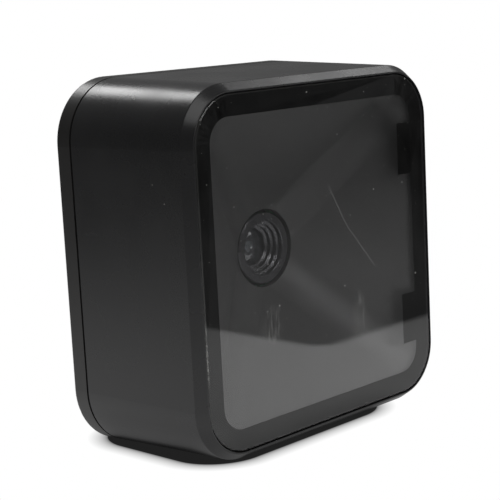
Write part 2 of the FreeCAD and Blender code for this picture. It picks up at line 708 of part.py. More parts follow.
def rating_label():
    label = Piece("rating_label")
    label.pad(
        "label_recess - label_height",
        "label_recess",
        round_box("label_half_x - label_fit", "label_half_y - label_fit", "label_corner - label_fit"),
    )


# Window


def scan_window():
    glass = Piece("scan_window")
    glass.pad(
        GLASS_BASE,
        f"{GLASS_BASE} + glass_height",
        round_box("glass_half", "glass_half", "glass_corner"),
    )
    glass.chamfer("glass_bevel", f"{GLASS_BASE} + glass_height")


def window_border():
    """Black print behind the glass: a frame with two tabs over the infrared devices."""
    frame = Piece("window_border")
    frame.pad(
        PRINT_BASE,
        GLASS_BASE,
        round_box("print_half", "print_half", "glass_corner - glass_half + print_half"),
        round_box("clear_half", "clear_half", "clear_corner"),
    )
    for low, high in (("tab_low", "tab_high"), ("-tab_high", "-tab_low")):
        frame.pad(PRINT_BASE, GLASS_BASE, box("tab_inner", low, "tape_inner", high))


def window_tape():
    """The double-sided foam tape that holds the glass and clamps the funnel's flange."""
    frame = Piece("window_tape")
    frame.pad(
        "tape_base",
        PRINT_BASE,
        round_box("print_half", "print_half", "glass_corner - glass_half + print_half"),
        round_box("tape_inner", "tape_inner", "tape_corner"),
    )


# Funnel and lights


def light_funnel():
    """Four flat sides and four conical corners, from a square mouth to a round throat."""
    funnel = Piece("light_funnel")
    funnel.pad(
        "flange_base", "tape_base", round_box("flange_half", "flange_half", "flange_corner")
    )
    outer_mouth = "(mouth_half + mouth_wall)"
    outside = round_box(outer_mouth, outer_mouth, "mouth_corner + mouth_wall")
    inside = round_box("mouth_half", "mouth_half", "mouth_corner")
    funnel.loft(
        "Additive",
        [
            ("flange_base", outside),
            ("funnel_base", segmented_circle("funnel_outer", "facet_arc")),
        ],
    )
    funnel.loft(
        "Subtractive",
        [("tape_base", inside), ("throat_top", segmented_circle("throat", "facet_arc"))],
    )
    funnel.cut("funnel_base", "throat_top", disc("throat"))
    posts = at_sides("post_pitch")
    funnel.pad(LED_TOP, "post_top", *discs("post", posts))
    funnel.cut(LED_TOP, f"{LED_TOP} + pilot_depth", *discs("post_pilot", posts))
    windows = [("ir_x", "ir_y"), ("ir_x", "-ir_y")]
    funnel.cut("ir_hole_base", "tape_base", *discs("ir_hole", windows))


def illumination_board():
    board = Piece("illumination_board")
    outline = round_box("led_board_half", "led_board_half", "board_corner")
    board.pad("led_board_base", LED_TOP, outline, disc("led_board_hole"))
    board.cut("led_board_base", LED_TOP, *discs("small_hole", at_sides("post_pitch")))


def illumination_leds():
    """Eight surface-mount LEDs, two beside each post, each with a round phosphor well."""
    across = at_corners("led_long", "led_short")
    along = at_corners("led_short", "led_long")
    top = f"({LED_TOP} + led_height)"
    leds = Piece("illumination_leds")
    for half_x, half_y, points in (
        ("led_width", "led_length", across),
        ("led_length", "led_width", along),
    ):
        packages = [round_box(half_x, half_y, "package_corner", x, y) for x, y in points]
        leds.pad(LED_TOP, top, *packages)
    leds.cut(f"{top} - led_well_depth", top, *discs("led_well", across + along))


def illumination_board_screws():
    screws(
        "illumination_board_screws",
        at_sides("post_pitch"),
        "small_head",
        "led_board_base - small_head_height",
        "led_board_base",
        "small_shank",
        f"{LED_TOP} + pilot_depth - pilot_spare",
    )


# Camera


def lens_holder():
    """The M12 lens mount: square base with two screw ears, threaded tube and a filter seat."""
    holder = Piece("lens_holder")
    step = "holder_shelf - holder_step"
    holder.pad(SENSOR_TOP, "holder_shelf", round_box("holder_half", "holder_half", "board_corner"))
    holder.pad(SENSOR_TOP, step, round_box("ear_length", "ear_width", "ear_corner"))
    holder.pad("holder_shelf", "holder_top", disc("holder_tube"))
    holder.cut(step, "holder_top", disc("thread_bore"))
    holder.cut(SENSOR_TOP, step, disc("light_hole"))
    holder.cut(SENSOR_TOP, FILTER_BASE, round_box("sensor_well", "sensor_well", "filter_corner"))
    seat = "(filter_half + filter_fit)"
    holder.cut(FILTER_BASE, FILTER_TOP, round_box(seat, seat, "filter_corner"))
    holder.cut(SENSOR_TOP, step, *discs("post_pilot", EAR_SCREWS))
    grub_hole = disc("grub + grub_fit", "0", "grub_height")
    holder.cut("thread_bore - 1", "holder_tube + 1", grub_hole, plane="XZ_Plane")


def lens_set_screw():
    """A small grub screw in the holder's side, backed off the lens barrel."""
    grub = Piece("lens_set_screw")
    outer_end = "(holder_tube - grub_gap)"
    body = disc("grub", "0", "grub_height")
    grub.pad("thread_bore + grub_gap", outer_end, body, plane="XZ_Plane")
    socket = disc("grub_socket", "0", "grub_height")
    grub.cut(f"{outer_end} - grub_socket_depth", outer_end, socket, plane="XZ_Plane")


def lens_holder_screws():
    screws(
        "lens_holder_screws",
        EAR_SCREWS,
        "small_head",
        "sensor_board_base - small_head_height",
        "sensor_board_base",
        "small_shank",
        f"{SENSOR_TOP} + well_roof",
    )


def lens_barrel():
    """The lens barrel: a gripped head with stepped baffles in front of the iris, and a threaded neck."""
    profile = []
    for i in range(BAFFLE_COUNT):
        base = f"barrel_top - iris_depth + {i} * baffle_pitch"
        profile.append((f"iris + {i} * baffle_width", base))
        profile.append((f"iris + {i + 1} * baffle_width", f"{base} + baffle_rise"))
    mouth = f"iris + {BAFFLE_COUNT} * baffle_width"
    profile += [
        (mouth, "barrel_top - barrel_edge"),
        (f"{mouth} + barrel_edge", "barrel_top"),
        ("barrel_head - barrel_edge", "barrel_top"),
        ("barrel_head", "barrel_top - barrel_edge"),
        ("barrel_head", "barrel_neck"),
        ("thread_bore - thread_fit", "barrel_neck"),
        ("thread_bore - thread_fit", "barrel_base"),
        ("cell", "barrel_base"),
        ("cell", "barrel_top - iris_depth - iris_land"),
        ("iris", "barrel_top - iris_depth - iris_land"),
    ]
    barrel = Piece("lens_barrel").turn(*profile)
    angles = [f"{360 * i / GRIP_COUNT + 3} deg" for i in range(GRIP_COUNT)]
    grips = [disc("grip", f"grip_ring * cos({a})", f"grip_ring * sin({a})") for a in angles]
    barrel.cut("barrel_neck", "barrel_top - grip_end", *grips)


def spherical_lens(label, rim_low, rim_high, ball_centre):
    """A plano-convex lens: a disc with one face on a sphere."""
    blank = doc.addObject("Part::Cylinder", f"{label}_blank")
    blank.setExpression("Radius", bound("lens_rim"))
    blank.setExpression("Height", bound(f"({rim_high}) - ({rim_low})"))
    blank.setExpression("Placement.Base.z", bound(rim_low))
    ball = doc.addObject("Part::Sphere", f"{label}_ball")
    ball.setExpression("Radius", bound("lens_ball"))
    ball.setExpression("Placement.Base.z", bound(ball_centre))
    lens = doc.addObject("Part::Common", label)
    lens.Label = label
    lens.Base = blank
    lens.Tool = ball
    lens.Placement = UPRIGHT
    pieces.append(lens)


def lenses():
    front = "(barrel_top - front_lens_top)"
    spherical_lens("front_lens", "barrel_base + stop_top", front, f"{front} - lens_ball")
    back = "(barrel_base + rear_lens_base)"
    spherical_lens("rear_lens", back, "barrel_base + stop_base", f"{back} + lens_ball")


def aperture_stop():
    stop = Piece("aperture_stop")
    rim, opening = disc("lens_rim"), disc("stop_opening")
    stop.pad("barrel_base + stop_base", "barrel_base + stop_top", rim, opening)


def lens_retaining_ring():
    ring = Piece("lens_retaining_ring")
    rim, opening = disc("lens_rim"), disc("ring_opening")
    ring.pad("barrel_base", "barrel_base + ring_height", rim, opening)
    low, high = "-ring_slot_half", "ring_slot_half"
    right = box("ring_slot_inner", low, "ring_slot_outer", high)
    left = box("-ring_slot_outer", low, "-ring_slot_inner", high)
    ring.cut("barrel_base", "barrel_base + ring_slot", right, left)


def infrared_filter():
    glass = Piece("infrared_filter")
    glass.pad(FILTER_BASE, FILTER_TOP, round_box("filter_half", "filter_half", "filter_corner"))


def image_sensor():
    """The sensor package, with a shallow well round its light-sensitive area."""
    chip = Piece("image_sensor")
    top = f"({SENSOR_TOP} + sensor_height)"
    chip.pad(SENSOR_TOP, top, round_box("sensor_half", "sensor_half", "package_corner"))
    well = round_box("pixel_half_x", "pixel_half_y", "package_corner")
    chip.cut(f"{top} - pixel_depth", top, well)


# Boards and electronics


def sensor_board():
    board = Piece("sensor_board")
    half = "sensor_board_half"
    board.pad("sensor_board_base", SENSOR_TOP, round_box(half, half, "board_corner"))
    board.cut("sensor_board_base", SENSOR_TOP, *discs("board_hole", at_corners("spacer_pitch")))
    board.cut("sensor_board_base", SENSOR_TOP, *discs("small_hole", EAR_SCREWS))


def sensor_board_spacers():
    points = at_corners("spacer_pitch")
    spacers = Piece("sensor_board_spacers")
    spacers.pad(MAIN_TOP, "sensor_board_base", *discs("spacer", points))
    spacers.cut(MAIN_TOP, "sensor_board_base", *discs("spacer_bore", points))


def sensor_board_screws():
    screws(
        "sensor_board_screws",
        at_corners("spacer_pitch"),
        "spacer_head",
        SENSOR_TOP,
        SCREW_TOP,
        "board_shank",
        f"{MAIN_TOP} + spacer_screw_gap",
    )


def board_link():
    """The mated pair of connectors between the sensor board and the main board."""
    middle = f"(({MAIN_TOP} + sensor_board_base) / 2)"
    receptacle = Piece("board_link_socket")
    outline = round_box("link_socket_x", "link_socket_y", "package_corner", "0", "link_y")
    receptacle.pad(MAIN_TOP, middle, outline)
    plug = Piece("board_link_plug")
    outline = round_box("link_plug_x", "link_plug_y", "package_corner", "0", "link_y")
    plug.pad(middle, "sensor_board_base", outline)


def main_board():
    half = "main_board_half"
    board = Piece("main_board")
    board.pad("main_board_base", MAIN_TOP, round_box(half, half, "board_corner"))
    notches = [
        round_box("notch_half", "notch_half", "board_corner", x, y)
        for x, y in at_corners("boss_pitch + notch_shift")
    ]
    board.cut("main_board_base", MAIN_TOP, *notches)
    board.cut("main_board_base", MAIN_TOP, *discs("board_hole", at_corners("rib_x", "rib_y")))


def main_board_screws():
    screws(
        "main_board_screws",
        at_corners("rib_x", "rib_y"),
        "board_head",
        "main_board_base - board_head_height",
        "main_board_base",
        "board_shank",
        "board_tip",
    )


def main_board_package(label, half_x, half_y, height, corner, x, y):
    """One square-cornered part on the main board."""
    package = Piece(label)
    package.pad(MAIN_TOP, f"{MAIN_TOP} + {height}", round_box(half_x, half_y, corner, x, y))


def main_board_packages():
    main_board_package("decoder_chip", "6", "6", "1.2", "package_corner", "0", "-20")
    main_board_package("memory_chip", "4", "5", "1.0", "package_corner", "14", "-19")
    main_board_package("clock_crystal", "1.6", "1.25", "0.9", "package_corner", "-10", "-20")
    main_board_package("power_inductor", "3", "3", "3.0", "package_corner", "18", "20")


def capacitors():
    """Two surface-mount capacitors: a square foot and a round can each."""
    points = [("can_x", "can_near"), ("can_x", "can_far")]
    foot_top = f"({MAIN_TOP} + can_foot_height)"
    feet = [round_box("can_foot", "can_foot", "can_foot_corner", x, y) for x, y in points]
    cans = Piece("capacitors")
    cans.pad(MAIN_TOP, foot_top, *feet)
    cans.pad(foot_top, f"{foot_top} + can_height", *discs("can", points))


def buzzer():
    place = ("buzzer_x", "buzzer_y")
    top = f"({MAIN_TOP} + buzzer_height)"
    sounder = Piece("buzzer")
    sounder.pad(MAIN_TOP, top, disc("buzzer_radius", *place))
    sounder.cut(f"{top} - sound_hole_depth", top, disc("sound_hole", *place))


def data_socket():
    """A modular jack on the main board, facing the housing's side opening."""
    back, face = "socket_back", "socket_face"
    jack = Piece("data_socket")
    jack.pad(MAIN_TOP, "socket_top", box(back, "-socket_half_y", face, "socket_half_y"))
    inner = "socket_face - plug_depth"
    cavity = box("-plug_half", "plug_low", "plug_half", "plug_high")
    groove = box("-latch_half", "plug_high", "latch_half", "latch_high")
    jack.cut(inner, face, cavity, plane="YZ_Plane")
    jack.cut(inner, face, groove, plane="YZ_Plane")


def socket_contacts():
    """Eight springy contact strips that rise from the floor of the plug's cavity."""
    contacts = Piece("socket_contacts")
    floor = "plug_low"
    strip = polygon(
        ("contact_end", floor),
        ("contact_foot", floor),
        ("contact_tip", f"{floor} + contact_rise"),
        ("contact_tip", f"{floor} + contact_rise + contact_height"),
        ("contact_foot", f"{floor} + contact_height"),
        ("contact_end", f"{floor} + contact_height"),
    )
    for i in range(CONTACT_COUNT):
        middle = f"({i - (CONTACT_COUNT - 1) / 2} * contact_pitch)"
        low, high = f"{middle} - contact_half", f"{middle} + contact_half"
        contacts.pad(low, high, strip, plane="XZ_Plane")


# Presence sensor


def presence_sensor_board():
    board = Piece("presence_sensor_board")
    outline = round_box("strip_half_x", "strip_half_y", "board_corner", "strip_x")
    board.pad("strip_base", STRIP_TOP, outline)
    board.cut("strip_base", STRIP_TOP, *discs("strip_hole", STRIP_SCREWS))
    screws(
        "presence_board_screws",
        STRIP_SCREWS,
        "strip_head",
        "strip_base - strip_head_height",
        "strip_base",
        "strip_shank",
        "strip_tip",
    )


def infrared_device(label, y):
    """A subminiature round infrared lamp or receiver: flange, barrel and domed tip."""
    device = Piece(label)
    flange_top = f"({STRIP_TOP} + ir_flange_height)"
    device.pad(STRIP_TOP, flange_top, disc("ir_flange", "ir_x", y))
    device.pad(flange_top, "ir_top", disc("ir_barrel", "ir_x", y))
    device.fillet("ir_dome", "ir_top")


def ribbon(label, joint_x, low, high, y_low, y_high):
    """A flat flexible cable that bulges towards -X from one connector and back into another."""
    middle, half = f"(({low}) + ({high})) / 2", f"(({high}) - ({low})) / 2"
    outside = round_box(
        "flex_bulge", f"{half} + flex_film / 2", "flex_bend", joint_x, middle
    )
    inside = round_box(
        "flex_bulge - flex_film", f"{half} - flex_film / 2", "flex_bend - flex_film", joint_x, middle
    )
    width = (f"-({y_high})", f"-({y_low})")
    cable = Piece(label)
    cable.pad(*width, outside, inside, plane="XZ_Plane")
    far_half = box(joint_x, f"({low}) - 1", f"({joint_x}) + flex_bulge + 1", f"({high}) + 1")
    cable.cut(*width, far_half, plane="XZ_Plane")


def flex_cables():
    """Two ribbons and the four connectors that they run between."""
    plugs = Piece("flex_connectors")
    lowest = f"{MAIN_TOP} + flex_height / 2"
    for label, board_base, left, right, low_y in (
        ("presence_ribbon", "strip_base", "presence_low", "presence_high", "presence_y"),
        ("illumination_ribbon", "led_board_base", "led_plug_low", "led_plug_high", "led_plug_y"),
    ):
        socket = box(left, low_y, right, f"{low_y} + flex_socket")
        plugs.pad(f"{board_base} - flex_height", board_base, socket)
        plugs.pad(MAIN_TOP, f"{MAIN_TOP} + flex_height", socket)
        edge = "(flex_socket - flex_width) / 2"
        ribbon(
            label,
            left,
            lowest,
            f"{board_base} - flex_height / 2",
            f"{low_y} + {edge}",
            f"{low_y} + flex_socket - {edge}",
        )


def build():
    front_housing()
    rear_cover()
    cover_seal()
    cover_screws()
    mounting_inserts()
    rating_label()
    scan_window()
    window_border()
    window_tape()
    light_funnel()
    illumination_board()
    illumination_leds()
    illumination_board_screws()
    lens_holder()
    lens_set_screw()
    lens_holder_screws()
    lens_barrel()
    lenses()
    aperture_stop()
    lens_retaining_ring()
    infrared_filter()
    image_sensor()
    sensor_board()
    sensor_board_spacers()
    sensor_board_screws()
    board_link()
    main_board()
    main_board_screws()
    main_board_packages()
    capacitors()
    buzzer()
    data_socket()
    socket_contacts()
    presence_sensor_board()
    infrared_device("infrared_emitter", "ir_y")
    infrared_device("infrared_receiver", "-ir_y")
    flex_cables()


def export():
    """Checks every object and every sub-part, then writes one STEP file for each sub-part."""
    doc.recompute()
    for item in doc.Objects:
        if "Invalid" in item.State or "Error" in item.State:
            raise RuntimeError(f"{item.Label} did not compute: {item.State}")
    for piece in pieces:
        if piece.Shape.isNull() or not piece.Shape.isValid():
            raise RuntimeError(f"{piece.Label} has no valid shape")
    os.makedirs("parts", exist_ok=True)
    for piece in pieces:
        piece.Shape.exportStep(f"parts/{piece.Label}.step")
    print(len(pieces), "sub-parts written")


build()
export()
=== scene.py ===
import json
import math

import bpy
from mathutils import Matrix, Vector


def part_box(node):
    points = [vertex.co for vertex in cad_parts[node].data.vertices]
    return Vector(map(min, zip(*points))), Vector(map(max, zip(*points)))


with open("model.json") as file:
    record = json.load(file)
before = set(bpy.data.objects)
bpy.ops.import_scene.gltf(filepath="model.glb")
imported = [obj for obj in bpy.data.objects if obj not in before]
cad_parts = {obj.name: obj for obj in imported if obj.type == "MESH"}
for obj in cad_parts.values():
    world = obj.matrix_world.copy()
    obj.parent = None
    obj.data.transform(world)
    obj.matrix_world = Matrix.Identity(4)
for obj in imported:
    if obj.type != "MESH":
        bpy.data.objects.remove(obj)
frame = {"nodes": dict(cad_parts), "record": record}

# A compact square barcode scanner on a pale sheet. The CAD nodes keep their shapes and get their
# materials here. Everything is in metres: the window faces -Y, and the scanner stands on z = 0.

MM = 0.001
scene = bpy.context.scene
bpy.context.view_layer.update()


def centre(node):
    low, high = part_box(node)
    return (low + high) / 2


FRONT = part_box("front_housing")[0].y
GLASS_FRONT, GLASS_BACK = (corner.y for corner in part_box("scan_window"))
AXIS = Vector((0, 0, centre("scan_window").z))


class Shade:
    """One material's node tree. A value given to a node is a number, a colour or another node's
    socket."""

    def __init__(self, name):
        self.material = bpy.data.materials.new(name)
        self.material.use_nodes = True
        self.tree = self.material.node_tree
        self.tree.nodes.clear()
        self.place = self.node("TexCoord").outputs["Object"]

    def node(self, kind, values=None, **settings):
        made = self.tree.nodes.new("ShaderNode" + kind)
        for name, setting in settings.items():
            setattr(made, name, setting)
        for name, given in (values or {}).items():
            self.give(made.inputs[name], given)
        return made

    def give(self, socket, given):
        if isinstance(given, bpy.types.NodeSocket):
            self.tree.links.new(given, socket)
        elif socket.type == "RGBA" and len(given) == 3:
            socket.default_value = (*given, 1)
        else:
            socket.default_value = given

    def maths(self, operation, first, second=0.0, third=0.0):
        values = {0: first, 1: second, 2: third}
        return self.node("Math", values, operation=operation).outputs[0]

    def length(self, first, second):
        """The distance whose two components are given."""
        squares = [self.maths("MULTIPLY", side, side) for side in (first, second)]
        return self.maths("SQRT", self.maths("ADD", *squares))

    def vector(self, operation, first, second=(0, 0, 0)):
        return self.node("VectorMath", {0: first, 1: second}, operation=operation).outputs[0]

    def axes(self, vector):
        return self.node("SeparateXYZ", {0: vector}).outputs

    def ramp(self, value, low, high, to_low=0.0, to_high=1.0):
        """The value carried from low..high to to_low..to_high, held at both ends."""
        values = {
            "Value": value, "From Min": low, "From Max": high, "To Min": to_low, "To Max": to_high,
        }
        return self.node("MapRange", values).outputs[0]

    def mix(self, share, first, second):
        made = self.node("Mix", data_type="RGBA")
        for index, given in ((0, share), (6, first), (7, second)):
            self.give(made.inputs[index], given)
        return made.outputs[2]

    def noise(self, size, detail=2.0, roughness=0.5, vector=None, distortion=0.0):
        """Cloudy noise whose features are about `size` metres across."""
        values = {
            "Vector": vector or self.place, "Scale": 1 / size, "Detail": detail,
            "Roughness": roughness, "Distortion": distortion,
        }
        return self.node("TexNoise", values).outputs[0]

    def cells(self, size, vector=None):
        """Voronoi cells about `size` metres across: distance from the cell's point, and its colour.
        A given vector is a place on a flat face."""
        values = {"Vector": vector or self.place, "Scale": 1 / size}
        dimensions = "2D" if vector else "3D"
        return self.node("TexVoronoi", values, voronoi_dimensions=dimensions).outputs

    def specks(self, spacing, smallest, largest, share, vector=None):
        """Round specks of dust, as a mask. `share` is the part of the cells that hold one."""
        distance, colour = self.cells(spacing, vector)[:2]
        chance = self.node("SeparateColor", {0: colour}).outputs
        radius = self.ramp(chance[0], 0, 1, smallest / spacing, largest / spacing)
        inside = self.maths("LESS_THAN", distance, radius)
        return self.maths("MULTIPLY", inside, self.maths("LESS_THAN", chance[1], share))

    def bump(self, height, depth):
        values = {"Height": height, "Distance": depth, "Strength": 1.0}
        return self.node("Bump", values).outputs[0]

    def about_axis(self):
        """Across, along and up from the optical axis, in metres."""
        return self.axes(self.vector("SUBTRACT", self.place, tuple(AXIS)))

    def principled(self, **values):
        named = {name.replace("_", " "): given for name, given in values.items()}
        return self.node("BsdfPrincipled", named).outputs[0]

    def blend(self, share, first, second):
        """A mix of two shaders."""
        return self.node("MixShader", {0: share, 1: first, 2: second}).outputs[0]

    def show(self, shader):
        output = self.node("OutputMaterial")
        self.tree.links.new(shader, output.inputs["Surface"])
        return self.material


def darker(colour, factor):
    return tuple(channel * factor for channel in colour)


# Materials

DULLED = 0.75
OUTLINES_PER_METRE = 420.0
ACTIVE_HALF_X, ACTIVE_HALF_Z = 2.9 * MM, 2.3 * MM
TRACK_PITCH = 0.5 * MM
FRAME_INSET, FRAME_HALF_WIDTH = 1.1 * MM, 0.12 * MM
INK_DARK, INK_LIGHT = (0.005, 0.005, 0.0055), (0.009, 0.009, 0.0095)
# Near-black for the window glass's side walls: painted shade of the dark gap round the glass.
EDGE_PAINTED_SHADE = (0.02, 0.02, 0.022)


def moulded(name, colour, roughness, grain=0.25 * MM, depth=0.006 * MM, dusty=0.0, gloss=0.4):
    """Moulded plastic: fine spark-eroded grain, slow changes in gloss, faint scuffs and some
    dust."""
    s = Shade(name)
    cloud = s.noise(14 * MM, detail=4)
    fine = s.noise(grain, detail=2, roughness=0.6)
    sparkle = s.noise(grain * 0.4, detail=1)
    grainy = s.maths("ADD", fine, s.maths("MULTIPLY", sparkle, 0.5))
    stretched = s.vector("MULTIPLY", s.place, (1, 0.12, 1))
    scuff = s.ramp(s.noise(1.6 * MM, detail=5, roughness=0.7, vector=stretched), 0.68, 0.78)
    shade = s.mix(s.ramp(cloud, 0.3, 0.7), darker(colour, 0.86), darker(colour, 1.14))
    shade = s.mix(s.ramp(fine, 0.35, 0.65, 0, 0.25), shade, darker(colour, 1.6))
    shade = s.mix(s.maths("MULTIPLY", scuff, 0.25), shade, darker(colour, 2.2))
    rough = s.ramp(cloud, 0.3, 0.7, roughness - 0.035, roughness + 0.035)
    rough = s.maths("ADD", rough, s.maths("MULTIPLY", scuff, 0.08))
    if dusty:
        dust = s.specks(2.6 * MM, 0.02 * MM, 0.14 * MM, dusty)
        shade = s.mix(s.maths("MULTIPLY", dust, 0.6), shade, (0.3, 0.29, 0.27))
        rough = s.maths("MAXIMUM", rough, s.maths("MULTIPLY", dust, 0.9))
    return s.show(
        s.principled(
            Base_Color=shade, Roughness=rough, Specular_IOR_Level=gloss,
            Normal=s.bump(grainy, depth),
        )
    )


def soft_rubber(name, colour):
    s = Shade(name)
    pores = s.noise(0.18 * MM, detail=3)
    shade = s.mix(s.ramp(pores, 0.35, 0.7), darker(colour, 0.7), darker(colour, 1.5))
    rough = s.ramp(pores, 0.3, 0.7, 0.75, 0.95)
    return s.show(
        s.principled(Base_Color=shade, Roughness=rough, Normal=s.bump(pores, 0.02 * MM))
    )


def metal(name, colour, roughness):
    """Metal with fine tool marks along Y, dulled in patches."""
    s = Shade(name)
    cloud = s.noise(3 * MM, detail=3)
    marks = s.noise(0.12 * MM, detail=3, vector=s.vector("MULTIPLY", s.place, (1, 0.2, 1)))
    shade = s.mix(s.ramp(cloud, 0.35, 0.7), colour, darker(colour, DULLED))
    rough = s.ramp(marks, 0.3, 0.7, roughness - 0.06, roughness + 0.08)
    return s.show(
        s.principled(
            Base_Color=shade, Metallic=1.0, Roughness=rough, Normal=s.bump(marks, 0.004 * MM)
        )
    )


def anodised(name):
    """Black anodised aluminium, turned: fine rings about the optical axis."""
    s = Shade(name)
    x, y, z = s.about_axis()
    along = s.node("CombineXYZ", {0: s.length(x, z), 1: y}).outputs[0]
    rings = s.noise(0.1 * MM, detail=4, roughness=0.7, vector=along)
    dull = s.noise(1.2 * MM, detail=3)
    shade = s.mix(s.ramp(rings, 0.3, 0.7), (0.045, 0.045, 0.048), (0.08, 0.08, 0.085))
    rough = s.ramp(dull, 0.3, 0.7, 0.17, 0.24)
    return s.show(
        s.principled(
            Base_Color=shade, Metallic=0.8, Roughness=rough, Normal=s.bump(rings, 0.003 * MM)
        )
    )


def circuit_board(name):
    """Green solder mask with buried copper tracks, vias and white component outlines."""
    s = Shade(name)
    grid = s.node("TexBrick", {"Vector": s.place, "Scale": OUTLINES_PER_METRE}, offset=0.35)
    track = s.ramp(s.noise(1.1 * MM, detail=0, distortion=1.5), 0.49, 0.51)
    via = s.specks(1.7 * MM, 0.12 * MM, 0.2 * MM, 0.5)
    shade = s.mix(track, (0.008, 0.075, 0.03), (0.02, 0.14, 0.055))
    shade = s.mix(s.maths("MULTIPLY", grid.outputs[1], 0.2), shade, (0.01, 0.05, 0.03))
    shade = s.mix(via, shade, (0.62, 0.6, 0.55))
    rough = s.ramp(track, 0, 1, 0.34, 0.28)
    return s.show(
        s.principled(
            Base_Color=shade, Roughness=rough, Metallic=via, Normal=s.bump(track, 0.02 * MM)
        )
    )


def led_package(name):
    """White packages with yellow phosphor in their round wells."""
    s = Shade(name)
    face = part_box("illumination_leds")[0].y
    facing = s.axes(s.node("NewGeometry").outputs["Normal"])[1]
    depth = s.axes(s.place)[1]
    well = s.maths("MULTIPLY", s.maths("GREATER_THAN", depth, face + 0.1 * MM),
                   s.maths("LESS_THAN", facing, -0.9))
    grains = s.noise(0.08 * MM, detail=2)
    phosphor = s.mix(grains, (0.85, 0.6, 0.1), (0.95, 0.78, 0.25))
    shade = s.mix(well, s.mix(grains, (0.82, 0.81, 0.78), (0.9, 0.9, 0.88)), phosphor)
    return s.show(
        s.principled(
            Base_Color=shade,
            Roughness=s.ramp(grains, 0.3, 0.7, 0.35, 0.5),
            Normal=s.bump(grains, 0.008 * MM),
        )
    )


def sensor_package(name):
    """Ceramic package round a dark light-sensitive area, with a painted colour sheen: the area's
    colour shifts from green to purple along a diagonal.
    """
    s = Shade(name)
    x, _, z = s.about_axis()
    active = s.maths("MULTIPLY",
                     s.maths("LESS_THAN", s.maths("ABSOLUTE", x), ACTIVE_HALF_X),
                     s.maths("LESS_THAN", s.maths("ABSOLUTE", z), ACTIVE_HALF_Z))
    rows = s.noise(0.05 * MM, detail=1)
    # Painted sheen: a fixed colour gradient across the active area stands in for the sensor's
    # coloured reflection.
    slant = s.ramp(s.maths("ADD", x, z), -3 * MM, 3 * MM)
    painted_sheen = s.mix(slant, (0.03, 0.05, 0.03), (0.05, 0.02, 0.05))
    shade = s.mix(active, s.mix(rows, (0.1, 0.09, 0.08), (0.16, 0.15, 0.13)), painted_sheen)
    return s.show(
        s.principled(Base_Color=shade, Roughness=s.ramp(active, 0, 1, 0.55, 0.15),
                     Normal=s.bump(rows, 0.003 * MM))
    )


def ribbon_film(name):
    """Amber polyimide film over parallel copper tracks."""
    s = Shade(name)
    stripe = s.maths("FRACT", s.maths("MULTIPLY", s.axes(s.place)[2], 1 / TRACK_PITCH))
    copper = s.ramp(s.maths("ABSOLUTE", s.maths("SUBTRACT", stripe, 0.5)), 0.2, 0.26)
    cloud = s.noise(2 * MM, detail=3)
    film = s.mix(cloud, (0.42, 0.15, 0.02), (0.55, 0.22, 0.035))
    shade = s.mix(copper, s.mix(cloud, (0.5, 0.3, 0.1), (0.58, 0.36, 0.13)), film)
    return s.show(
        s.principled(Base_Color=shade, Roughness=s.ramp(cloud, 0.3, 0.7, 0.2, 0.32),
                     Normal=s.bump(copper, 0.02 * MM))
    )


def label_film(name):
    """A blank silver label: brushed film with a thin grey frame near its edge."""
    s = Shade(name)
    low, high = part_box("rating_label")
    half = (high - low) / 2
    x, _, z = s.axes(s.vector("SUBTRACT", s.place, tuple(centre("rating_label"))))
    edge = s.maths("MINIMUM",
                   s.maths("SUBTRACT", half.x, s.maths("ABSOLUTE", x)),
                   s.maths("SUBTRACT", half.z, s.maths("ABSOLUTE", z)))
    from_line = s.maths("ABSOLUTE", s.maths("SUBTRACT", edge, FRAME_INSET))
    line = s.maths("LESS_THAN", from_line, FRAME_HALF_WIDTH)
    brushed = s.noise(0.15 * MM, detail=3, vector=s.vector("MULTIPLY", s.place, (0.04, 1, 1)))
    film = s.mix(brushed, (0.42, 0.42, 0.43), (0.6, 0.6, 0.61))
    return s.show(
        s.principled(
            Base_Color=s.mix(line, film, (0.06, 0.06, 0.065)),
            Metallic=0.6,
            Roughness=s.ramp(brushed, 0.3, 0.7, 0.32, 0.45),
            Normal=s.bump(brushed, 0.004 * MM),
        )
    )


def glass(name, tint, ior, coat=0.0, coat_tint=(1, 1, 1)):
    """Clear optical glass with a faint film of dust. Rays from lamps go straight through it."""
    s = Shade(name)
    haze = s.ramp(s.noise(0.9 * MM, detail=4), 0.35, 0.7, 0.01, 0.06)
    clear = s.principled(
        Base_Color=tint, Roughness=0.02, IOR=ior, Transmission_Weight=1.0,
        Coat_Weight=coat, Coat_Tint=coat_tint, Coat_Roughness=0.05,
    )
    film = s.principled(Base_Color=(0.4, 0.42, 0.45), Roughness=0.7)
    lamp = s.node("LightPath").outputs["Is Shadow Ray"]
    open_way = s.node("BsdfTransparent").outputs[0]
    return s.show(s.blend(lamp, s.blend(haze, clear, film), open_way))


# The window's black print, and the marks on the glass, in mm from the middle of the window.

CLEAR_HALF = 28.0
CLEAR_CORNER = 4.7
TAB_INNER, TAB_LOW, TAB_HIGH = 23.9, 12.1, 22.3
SCRATCH_START, SCRATCH_MIDDLE, SCRATCH_END = (1.8, 13.2), (6.8, 4.7), (14.8, -4.4)
SCRATCH_WIDTH = 0.16
STREAKS = (((10.0, -13.8), (2.6, 5.6)), ((-15.0, -10.8), (3.4, 4.4)))
# Two soft patches on the bevel, made light and rough as painted glints: their middles and half axes
# in mm.
BEVEL_PAINTED_GLINTS = (((-31.9, -13.0), (1.5, 7.0)), ((26.0, -30.0), (3.5, 3.5)))
REAR_SKIN, FRONT_SKIN = 0.02 * MM, 0.3 * MM
SIDE_FACING, BEVEL_FACING = 0.3, 0.9
DUST_SHOWS, SCRATCH_SHOWS, STREAKS_SHOW, HAZE_SHOWS = 0.55, 0.28, 0.16, 0.012
# Strength range of the painted glints on the bevel, and the faint frost along all of it.
GLINT_LEAST, GLINT_MOST, BEVEL_SHOWS = 0.1, 0.45, 0.05


